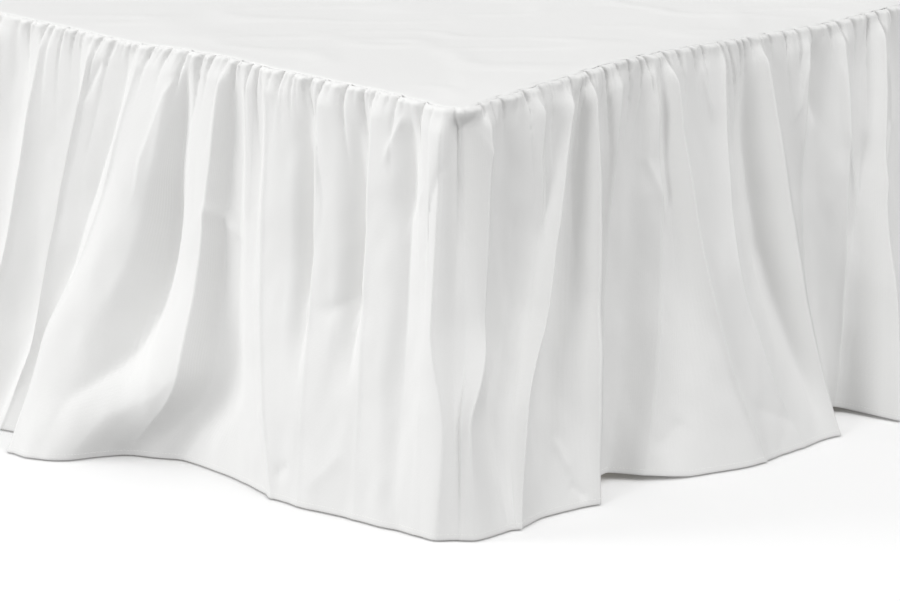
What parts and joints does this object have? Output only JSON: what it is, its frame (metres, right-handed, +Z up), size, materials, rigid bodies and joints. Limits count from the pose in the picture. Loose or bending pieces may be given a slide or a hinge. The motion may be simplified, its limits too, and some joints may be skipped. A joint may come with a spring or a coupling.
{
  "type": "gathered bed skirt on a divan bed base",
  "caption": "White cotton bed skirt: a flat deck panel over a plain single divan base, with gathered frill panels hanging in uneven folds to the floor on both sides and the foot.",
  "frame": {"origin": "on the floor, under the middle of the whole part with its folds", "axes": "+Z up, +Y towards the open head end of the bed, -Y towards the foot, +X to the right seen from the foot"},
  "size_m": [1.1798, 2.1286, 0.5175],
  "materials": {
    "cotton": "crisp matte plain weave",
    "ticking": "plain woven upholstery",
    "nylon": "moulded, satin"
  },
  "bodies": {
    "root": {"base": "ticking", "deck": "cotton", "frill_left": "cotton", "frill_foot": "cotton", "frill_right": "cotton", "glide_foot_left": "nylon", "glide_foot_right": "nylon", "glide_head_left": "nylon", "glide_head_right": "nylon"}
  },
  "joints": []
}
